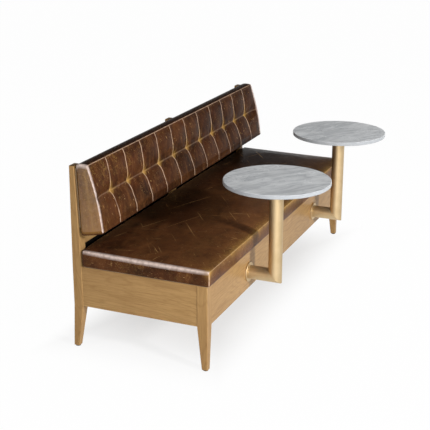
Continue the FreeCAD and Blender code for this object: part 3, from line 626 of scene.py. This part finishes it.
class BENCH_OT_seat_cushion(bpy.types.Operator):
    """Make the boxed leather seat pad"""
    bl_idname = "bench.seat_cushion"
    bl_label = "Seat cushion"

    # Mesh steps in plan and up the boxing, room round the deck and band held by the stitches, in metres
    plan_step = 0.012
    boxing_step = 0.011
    lip = 0.0006
    sewn_band = 0.004
    # Powers that keep the crown full up to the ends and the sides, and the top's unevenness in metres
    end_power = 14
    side_power = 4
    unevenness = 0.0012
    # Painted shade darkens the seat from one place along it onward, and a painted shadow of the near table
    # top darkens one patch, as (x, y) in metres
    shade_start = -0.35
    shade_run = 1.1
    table_shadow_middle = (-0.28, 0.31)
    table_shadow_reach = (0.24, 0.15)
    # Reach of the scuffs and of the golden wear from the front edge and the front left corner, in metres
    scuff_reach = 0.03
    golden_reach = 0.012
    corner_reach = 0.03

    def execute(self, context):
        sizes = context.scene.bench_sizes
        low, high = (np.array(corner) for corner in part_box("seat_cushion"))
        low[1] += sizes.seat_swell
        high[1] -= sizes.seat_swell
        high[2] -= sizes.seat_crown
        deck = [np.array(corner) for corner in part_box("seat_deck")]
        flat, faces = self.grid(low, high, deck, sizes.seat_edge)
        points = self.shaped(flat, low, high, sizes)
        points[self.over_deck(flat, low, deck), 2] = deck[1][2] + self.lip
        seat = new_mesh("leather_seat", points, faces)
        sewn = self.wear(seat, flat, low, high)
        swell(seat, sewn, pressure=1.5, cap=0.005)
        subdivide(seat)
        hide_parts("seat_cushion")
        colours = context.scene.bench_colours
        leather = worn_leather(colours, "seat_leather", streak_scale=(7, 15, 12),
                               scratch_turns=SEAT_SCRATCHES, shine=0.05)
        fit_material(seat, leather)
        return {"FINISHED"}

    def grid(self, low, high, deck, radius):
        """Box of the pad before it is shaped, cut along the outline of the deck too."""
        lines = [[deck[0][axis] - self.lip, deck[0][axis] - 2 * self.lip,
                  deck[1][axis] + self.lip, deck[1][axis] + 2 * self.lip] for axis in (0, 1)]
        return box_surface(cuts(low[0], high[0], self.plan_step, radius, lines[0]),
                           cuts(low[1], high[1], self.plan_step, radius, lines[1]),
                           cuts(low[2], high[2], self.boxing_step, radius))

    def over_deck(self, flat, low, deck):
        """Picks the points of the underside that lie over the deck, which is let into the pad."""
        room = 1.5 * self.lip
        inside = (flat[:, :2] >= deck[0][:2] - room) & (flat[:, :2] <= deck[1][:2] + room)
        return (flat[:, 2] <= low[2] + SAME_PLACE) & np.all(inside, axis=1)

    def wear(self, seat, flat, low, high):
        """Stores where the leather is rubbed, faded and scuffed, where painted light and painted shade fall,
        where its ends carry a painted highlight, and says what is sewn.
        """
        away = np.stack([flat[:, 0] - low[0], high[0] - flat[:, 0],
                         flat[:, 1] - low[1], high[1] - flat[:, 1]])
        end = np.minimum(away[0], away[1])
        front = away[2]
        corner = np.maximum(away[0], front)
        rear_share = np.clip(front / (high[1] - low[1]), 0, 1)
        front_share = 1 - rear_share
        from_top = high[2] - flat[:, 2]
        on_top = from_top < SAME_PLACE
        edge = np.where(on_top, np.min(away, axis=0), from_top)

        store(seat, "edge_near", nearness(edge))
        # Pale ends: partly wear, partly a painted highlight along the end's rounded top edge.
        end_line = np.where(on_top, end, np.where(end < SAME_PLACE, from_top, REACH))
        pale_end_share = 1 - 0.2 * np.abs(2 * rear_share - 1) ** 3
        store(seat, "pale_near", pale_end_share * nearness(end_line))
        store(seat, "front_corner_near", 0.93 * nearness(corner))

        # Painted shade: darker toward the far end and the rear, plus a painted shadow of the near table top.
        lengthways = np.clip((flat[:, 0] - self.shade_start) / self.shade_run, 0, 1)
        from_table_shadow = (flat[:, :2] - self.table_shadow_middle) / self.table_shadow_reach
        patch = np.exp(-np.sum(from_table_shadow ** 2, axis=1))
        waxed = np.clip(0.75 * lengthways + 0.25 * rear_share ** 2 + 0.4 * patch, 0, 0.85)
        store(seat, "waxed", waxed * on_top)
        # Painted light, partly real fading: lighter toward the lit front, a fixed share on the boxing and
        # more on the front boxing.
        faded = np.where(on_top, 0.95 * front_share ** 1.3, 0.2)
        faded = np.where(front < SAME_PLACE, 0.5, faded)
        store(seat, "faded", np.clip(faded + 0.1 * smooth_noise(flat, 7, seed=11), 0, 1))

        patches = np.clip(0.5 + 0.9 * smooth_noise(flat, 14, seed=23), 0, 1)
        top_scuffs = np.exp(-front / self.scuff_reach) + 0.3 * patches * front_share
        store(seat, "scuffed", np.clip(np.where(on_top, top_scuffs, 0.25 * patches), 0, 0.9))
        golden = np.exp(-(front + from_top) / self.golden_reach) * (0.25 + 0.6 * patches)
        golden = golden + 0.5 * np.exp(-((corner + from_top) / self.corner_reach) ** 2)
        store(seat, "tuft_star", np.clip(golden, 0, 0.8))
        return np.where(on_top & (edge >= self.sewn_band), 0.0, 1.0)

    def shaped(self, flat, low, high, sizes):
        """Rounds the box's edges, crowns its top, swells its boxing and raises the welt."""
        radius = sizes.seat_edge
        inner = np.clip(flat, low + radius, high - radius)
        off = flat - inner
        reach = np.linalg.norm(off, axis=1)
        direction = off / np.maximum(reach, NO_LENGTH)[:, None]
        side = np.max(np.abs(direction[:, :2]), axis=1)
        welt = np.exp(-((direction[:, 2] - 0.62) / 0.24) ** 2) * (side > 0.2) * sizes.welt
        points = inner + direction * radius + direction * welt[:, None]

        middle = (low + high) / 2
        share = np.abs(flat - middle) / ((high - low) / 2)
        on_top = direction[:, 2] > 0.3
        lengthways = 1 - share[:, 0] ** self.end_power
        crown = lengthways * (1 - share[:, 1] ** self.side_power)
        rearward = (flat[:, 1] - low[1]) / (high[1] - low[1])
        points[:, 2] += on_top * sizes.seat_crown * crown
        points[:, 2] += (flat[:, 2] > middle[2]) * sizes.seat_rear_rise * rearward ** 2
        points[:, 2] += on_top * sizes.seat_rear_full * lengthways * rearward ** 3
        points[:, 2] += on_top * crown * self.unevenness * smooth_noise(flat, 16, seed=3)
        upright = 1 - share[:, 2] ** 2
        for axis in (0, 1):
            outward = np.where(np.abs(direction[:, axis]) > 0.7, np.sign(direction[:, axis]), 0)
            points[:, axis] += outward * upright * sizes.seat_swell
        return points


class BENCH_OT_back_cushion(bpy.types.Operator):
    """Make the biscuit-tufted leather back"""
    bl_idname = "bench.back_cushion"
    bl_label = "Back cushion"

    columns = 12
    # Mesh steps across a column, down a row and along the other sides of the section
    column_steps = 24
    row_steps = 22
    side_steps = (("under", 8), ("rear", 10), ("over", 6))
    # Corners of the section, as (y, z) in metres
    top = (0.40978, 0.852)
    bottom = (0.34332, 0.555)
    rear_low = (0.45157, 0.534)
    rear_high = (0.46278, 0.852)
    # Swelling of the upper and lower side, room before the board and band held by stitches, in metres
    over_swell = 0.003
    under_swell = 0.002
    rear_room = 0.0003
    sewn_band = 0.002
    # Fullness of the lower row's seams as a share of the upper row's
    lower_share = 1.4
    # Height of the folds round a tuft, their reach and start, and its dimple's depth and reach, in metres
    fold_height = 0.0022
    fold_reach = 0.02
    fold_start = 0.012
    dimple_depth = 0.004
    dimple_reach = 0.013
    # Rubbed spot on a tuft, and width and length of its rays, in metres
    spot_reach = 0.015
    up_ray = (0.0045, 0.045)
    side_ray = (0.0035, 0.05)
    slant_ray = (0.0025, 0.03)
    # How far the middle of the upward and of the slanting rays lies from the tuft, in metres
    up_shift = 0.024
    slant_shift = 0.012
    # Length along the bench over which the scuffs thin out, and inset of the pale end line, partly wear and
    # partly a painted highlight, in metres
    scuff_run = 0.75
    pale_highlight_inset = 0.001
    # Rings of each end panel, as shares of its rim, and the rise of its middle in metres
    end_ring_shares = (0.9, 0.7, 0.45, 0.2, 0)
    end_rise = 0.004

    def execute(self, context):
        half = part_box("back_cushion")[1][0]
        stations = self.stations(half)
        loop = self.loop()
        grid = self.grid(stations, loop, half)
        points = self.surface(grid, context.scene.bench_sizes)
        info = self.wear(grid, points)
        around = len(loop)
        faces = []
        for i in range(len(stations) - 1):
            for j in range(around):
                k = (j + 1) % around
                faces.append([i * around + j, i * around + k, (i + 1) * around + k, (i + 1) * around + j])
        points, info, faces = self.with_ends(points, info, faces, around, len(stations))
        back = new_mesh("leather_back", points, [face[::-1] for face in faces])
        sewn = info.pop("sewn")
        for name, values in info.items():
            store(back, name, values)
        swell(back, sewn, pressure=2.5, cap=0.004)
        subdivide(back)
        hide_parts("back_cushion")
        colours = context.scene.bench_colours
        leather = worn_leather(colours, "back_leather", streak_scale=(24, 14, 9),
                               scratch_turns=BACK_SCRATCHES, shine=0.022)
        fit_material(back, leather)
        return {"FINISHED"}

    def stations(self, half):
        """Places along the bench, closer together beside the upright seams."""
        share = np.arange(self.column_steps) / self.column_steps
        share = 0.6 * share + 0.4 * (0.5 - 0.5 * np.cos(math.pi * share))
        width = 2 * half / self.columns
        places = [width * (column + s) - half for column in range(self.columns) for s in share]
        return np.array(places + [half])

    def loop(self):
        """Points round the section: (side, share along it), front first, from the top down."""
        rows = 2 * self.row_steps
        loop = [("front", j / rows) for j in range(rows)]
        for side, count in self.side_steps:
            loop += [(side, j / count) for j in range(count)]
        return loop

    def grid(self, stations, loop, half):
        """Where each point lies: along the bench, round the section and from the nearest tuft."""
        width = 2 * half / self.columns
        height = math.dist(self.top, self.bottom)
        x = np.repeat(stations, len(loop))
        v = np.tile([share for _, share in loop], len(stations))
        side = np.tile([name for name, _ in loop], len(stations))
        place = (x + half) / width
        seam = np.round(place)
        return SimpleNamespace(
            x=x, v=v, half=half, height=height, place=place, seam=seam,
            front=side == "front", under=side == "under", rear=side == "rear", over=side == "over",
            inner_seam=(seam > 0.5) & (seam < self.columns - 0.5),
            across=(seam * width - half) - x, down=(v - 0.5) * height)

    def surface(self, grid, sizes):
        """Points of the cushion: swelling fields in front, plain sides elsewhere."""
        top, bottom, rear_low, rear_high = (
            np.array(corner) for corner in (self.top, self.bottom, self.rear_low, self.rear_high))
        along = (top - bottom) / grid.height
        outward = np.array([-along[1], along[0]])
        v = grid.v
        column = np.floor(grid.place)
        s = grid.place - column
        last = self.columns - 1
        end = ((column == 0) & (s < 0.5)) | ((column == last) & (s > 0.5)) | (column > last)
        form = (1 - np.abs(2 * s - 1) ** 2.2) ** np.where(end, 1.0, 0.62)
        deep = np.where(end, -sizes.end_knee, sizes.tuft_depth)
        deep = deep + (sizes.middle_depth - deep) * form
        full = np.where(end, sizes.end_bulge, sizes.seam_bulge * np.where(v > 0.5, self.lower_share, 1.0))
        full = full + (sizes.biscuit - full) * form
        t = np.where(v < 0.5, 2 * v, 2 - 2 * v)
        offset = full * (1 - np.abs(2 * t - 1) ** 2.5) - deep * t ** 1.3
        offset += np.where(grid.inner_seam, self.folds(grid), 0)

        points = np.zeros((len(v), 3))
        points[:, 0] = grid.x
        arch = np.where(grid.front, sizes.middle_arch * form * t ** 2, 0)
        base = top[None] + (bottom - top)[None] * v[:, None] + along[None] * arch[:, None]
        points[:, 1:] = base + outward[None] * offset[:, None]
        for pick, start, stop in ((grid.under, bottom, rear_low), (grid.rear, rear_low, rear_high),
                                  (grid.over, rear_high, top)):
            points[pick, 1:] = start + (stop - start) * v[pick][:, None]
        points[grid.over, 2] += self.over_swell * np.sin(math.pi * v[grid.over])
        points[grid.under, 2] -= self.under_swell * np.sin(math.pi * v[grid.under])
        points[grid.rear, 1] -= self.rear_room
        return points

    def folds(self, grid):
        """Small folds that meet at a tuft, and its dimple."""
        radius = np.hypot(grid.across, grid.down)
        angle = np.arctan2(-grid.down, -grid.across)
        fading = np.exp(-radius / self.fold_reach) * np.minimum(1, radius / self.fold_start)
        folds = np.cos(5 * angle + grid.seam * 1.7) * fading
        return self.fold_height * folds - self.dimple_depth * np.exp(-(radius / self.dimple_reach) ** 2)

    def wear(self, grid, points):
        """What each point carries: nearness to seams and edges, wear, painted light and shade, painted end
        highlights, and how firmly it is sewn.
        """
        x, v, half, front, over = grid.x, grid.v, grid.half, grid.front, grid.over
        edge = np.where(front, nearness(v * grid.height), 0)
        edge = np.where(over, nearness((1 - v) * (self.top[0] - self.rear_high[0])), edge)
        edge = np.where(grid.under & (v == 0), 0.97, edge)
        # Pale ends: partly wear, partly a painted highlight down the end edges.
        ends = nearness(half - np.abs(x) - self.pale_highlight_inset) * np.where(front, 1 - 0.12 * v, 1)
        patches = np.clip(0.5 + 0.9 * smooth_noise(points, 30, seed=17), 0, 1)
        scuffed = np.clip(0.9 - (x + half) / self.scuff_run, 0.12, 0.9)
        scuffed = scuffed * np.clip(1.2 - 2.2 * v, 0.15, 1) * patches
        # Painted shade: darker toward the right end of the front, and on the top strip.
        waxed = np.where(front, 0.4 * np.clip(0.3 + x / half, 0, 1), 0)
        sewn = np.where(front, 0.0, 1.0)
        sewn = np.where(front & (np.abs(grid.across) < self.sewn_band), 0.95, sewn)
        sewn = np.where(front & (np.abs(grid.down) < self.sewn_band), 0.9, sewn)
        sewn = np.where(front & (v == 0), 1.0, sewn)
        return {
            "seam_near": np.where(front & grid.inner_seam, nearness(grid.across), 0),
            "middle_near": np.where(front, nearness(grid.down), 0),
            "edge_near": edge,
            "pale_near": np.where(front | over, ends, 0),
            "tuft_star": np.where(front & grid.inner_seam, self.star(grid), 0),
            "faded": np.where(front, 0.12 + 0.10 * smooth_noise(points, 9, seed=5), 0),
            "waxed": np.where(over, 0.8, waxed),
            "scuffed": np.where(front, scuffed, 0),
            "sewn": sewn,
        }

    def star(self, grid):
        """Rubbed spot on a tuft, with short rays along the folds that meet there."""
        across, down = grid.across, grid.down
        spot = np.clip(1.35 - np.hypot(across, down) / self.spot_reach, 0, 1)
        up = self.ray(across, down + self.up_shift, *self.up_ray)
        fold = self.ray(down, across, *self.side_ray)
        slant = 0
        for turn in (0.9, 2.2):
            lean = turn + 0.25 * np.sin(grid.seam * 2.3 + turn)
            along = across * np.cos(lean) - down * np.sin(lean)
            beside = across * np.sin(lean) + down * np.cos(lean)
            slant = np.maximum(slant, self.ray(beside, along - self.slant_shift, *self.slant_ray))
        return np.clip(np.maximum.reduce([spot, 0.9 * up, 0.8 * fold, 0.7 * slant]), 0, 1) * 0.9

    def ray(self, beside, along, width, length):
        """One along a line, fading beside it and toward its ends."""
        return np.exp(-(beside / width) ** 2) * np.clip(1 - np.abs(along) / length, 0, 1)

    def with_ends(self, points, info, faces, around, count):
        """Closes both ends with slightly swelling panels."""
        for start, sign in ((0, -1), ((count - 1) * around, 1)):
            previous = np.arange(start, start + around)
            rim = points[previous]
            middle = rim.mean(axis=0)
            for share in self.end_ring_shares:
                new = middle + (rim - middle) * share
                new[:, 0] += sign * self.end_rise * (1 - share ** 2)
                if share == 0:
                    new = new[:1]
                numbers = np.arange(len(points), len(points) + len(new))
                points = np.vstack([points, new])
                fills = self.end_wear(new)
                for name in info:
                    filled = np.broadcast_to(fills.get(name, 0.0), len(new))
                    info[name] = np.concatenate([info[name], filled])
                for j in range(around):
                    k = (j + 1) % around
                    inward = [numbers[0]] if len(new) == 1 else [numbers[k], numbers[j]]
                    face = [previous[j], previous[k], *inward]
                    faces.append(face[::-1] if sign < 0 else face)
                previous = numbers
        return points, info, [[int(i) for i in face] for face in faces]

    def end_wear(self, points):
        """Wear, painted light and painted shade of an end panel, from how low and how far back its points
        lie.
        """
        low = np.clip((self.top[1] - points[:, 2]) / (self.top[1] - self.rear_low[1]), 0, 1)
        front_y = self.top[0] + (self.bottom[0] - self.top[0]) * low
        rear_y = self.rear_high[0] + (self.rear_low[0] - self.rear_high[0]) * low
        depth = (points[:, 1] - front_y) / (rear_y - front_y)
        golden = 0.10 + 0.22 * low ** 1.5 + 0.18 * np.exp(-((depth - 0.3) / 0.12) ** 2)
        # Painted light lighter toward the bottom with a little of the pale highlight tone, and painted shade
        # darker toward the top.
        return {"sewn": 1.0, "faded": 0.85 + 0.15 * low, "tuft_star": golden, "pale_near": 0.46,
                "scuffed": 0.5 - 0.3 * low, "waxed": 0.55 * (1 - low) ** 2}


def backdrop_rays(tree):
    """One for the rays that see the white surround: the camera's own, mirrored and transmitted ones."""
    path = tree.nodes.new("ShaderNodeLightPath").outputs
    seen = path["Is Camera Ray"]
    for kind in ("Is Glossy Ray", "Is Transmission Ray"):
        either = tree.nodes.new("ShaderNodeMath")
        either.operation = "MAXIMUM"
        tree.links.new(seen, either.inputs[0])
        tree.links.new(path[kind], either.inputs[1])
        seen = either.outputs[0]
    return seen


class BENCH_OT_stage(bpy.types.Operator):
    """Set the floor, the soft studio light and the camera"""
    bl_idname = "bench.stage"
    bl_label = "Stage"

    def execute(self, context):
        scene = context.scene
        scene.view_settings.view_transform = "Standard"
        self.floor(scene)
        self.world(scene)
        for lamp in LAMPS:
            self.area(*lamp)
        self.camera(scene)
        return {"FINISHED"}

    def floor(self, scene):
        """Floor and the low ring that closes it, both in the same white."""
        corners = [(x * FLOOR_REACH, y * FLOOR_REACH, 0) for x, y in ((-1, -1), (1, -1), (1, 1), (-1, 1))]
        floor = new_mesh("studio_floor", corners, [[0, 1, 2, 3]])
        white = self.white_floor(scene)
        turns = np.linspace(0, math.tau, BACKDROP_SIDES + 1)[:-1]
        ring = [(BACKDROP_RADIUS * math.cos(turn), BACKDROP_RADIUS * math.sin(turn), z)
                for turn in turns for z in (0, BACKDROP_HEIGHT)]
        walls = [[2 * i, (2 * i + 2) % len(ring), (2 * i + 3) % len(ring), 2 * i + 1]
                 for i in range(len(turns))]
        backdrop = new_mesh("studio_backdrop", ring, walls)
        for piece in (floor, backdrop):
            piece.data.materials.append(white)

    def white_floor(self, scene):
        """Matt floor that turns white away from the bench and keeps the bench's shadow near it."""
        s = Shader("studio_floor")
        speck = s.noise(s.place(), 3, 2)
        grey = tuple(scene.bench_colours.floor)
        plain = s.ramp(speck, (0.3, tuple(c * 0.985 for c in grey)), (0.7, grey))
        s.finish(Base_Color=plain, Roughness=0.9, Specular_IOR_Level=0.1)
        spot = s.add("SeparateXYZ", {0: s.place((1.0, 2.4, 1), (0, 0, 0), (0, -0.5, 0))}).outputs
        away = s.math("MAXIMUM", s.math("ABSOLUTE", spot[0]), s.math("ABSOLUTE", spot[1]))
        fade = s.add("MapRange", {"Value": away, "From Min": 0.5, "From Max": 1.15, "To Min": 0.6,
                                  "To Max": 0.985}, interpolation_type="SMOOTHSTEP").outputs[0]
        seen = backdrop_rays(s.tree)
        glow = s.add("Emission", {"Color": (1, 1, 1), "Strength": 1.0}).outputs[0]
        blend = s.add("MixShader", {0: s.math("MULTIPLY", fade, seen), 1: s.surface.outputs[0], 2: glow})
        output = next(n for n in s.tree.nodes if n.type == "OUTPUT_MATERIAL")
        s.tree.links.new(blend.outputs[0], output.inputs["Surface"])
        return s.material

    def world(self, scene):
        """Plain dim light from all round."""
        world = bpy.data.worlds.new("studio")
        scene.world = world
        world.use_nodes = True
        background = world.node_tree.nodes["Background"]
        background.inputs["Color"].default_value = (1, 1, 1, 1)
        background.inputs["Strength"].default_value = WORLD_STRENGTH

    def area(self, name, place, target, size, power):
        """Lamp with a lit rectangle that faces its target."""
        light = bpy.data.lights.new(name, "AREA")
        light.shape = "RECTANGLE"
        light.size, light.size_y = size
        light.energy = power
        obj = bpy.data.objects.new(name, light)
        obj.location = place
        obj.rotation_euler = (Vector(target) - Vector(place)).to_track_quat("-Z", "Y").to_euler()
        bpy.context.scene.collection.objects.link(obj)

    def camera(self, scene):
        turn = math.radians(CAMERA_TURN)
        rise = math.radians(CAMERA_RISE)
        back = Vector((math.sin(turn) * math.cos(rise), -math.cos(turn) * math.cos(rise), math.sin(rise)))
        right = Vector((math.cos(turn), math.sin(turn), 0))
        up = back.cross(right)
        camera = bpy.data.cameras.new("camera")
        camera.sensor_width = CAMERA_SENSOR
        camera.lens = CAMERA_LENS
        camera.clip_end = CAMERA_FAR
        obj = bpy.data.objects.new("camera", camera)
        facing = Matrix((right, up, back)).transposed().to_4x4()
        obj.matrix_world = Matrix.Translation(CAMERA_PLACE) @ facing
        scene.collection.objects.link(obj)
        scene.camera = obj


class BENCH_PT_panel(bpy.types.Panel):
    """Pieces of the bench and their sizes and colours"""
    bl_idname = "BENCH_PT_panel"
    bl_label = "Restaurant bench"
    bl_space_type = "VIEW_3D"
    bl_region_type = "UI"
    bl_category = "Bench"

    def draw(self, context):
        layout = self.layout
        for group in (context.scene.bench_sizes, context.scene.bench_colours):
            column = layout.column(align=True)
            for name in group.__annotations__:
                column.prop(group, name)
        for operator in OPERATORS:
            layout.operator(operator.bl_idname)


OPERATORS = (BENCH_OT_oak_frame, BENCH_OT_inner_frame, BENCH_OT_tables, BENCH_OT_seat_cushion,
             BENCH_OT_back_cushion, BENCH_OT_stage)
CLASSES = (BenchSizes, BenchColours, *OPERATORS, BENCH_PT_panel)


def register():
    for cls in CLASSES:
        bpy.utils.register_class(cls)
    bpy.types.Scene.bench_sizes = bpy.props.PointerProperty(type=BenchSizes)
    bpy.types.Scene.bench_colours = bpy.props.PointerProperty(type=BenchColours)


def unregister():
    del bpy.types.Scene.bench_colours
    del bpy.types.Scene.bench_sizes
    for cls in reversed(CLASSES):
        bpy.utils.unregister_class(cls)


def main():
    register()
    bpy.ops.bench.oak_frame()
    bpy.ops.bench.inner_frame()
    bpy.ops.bench.tables()
    bpy.ops.bench.seat_cushion()
    bpy.ops.bench.back_cushion()
    bpy.ops.bench.stage()


if __name__ == "__main__":
    main()
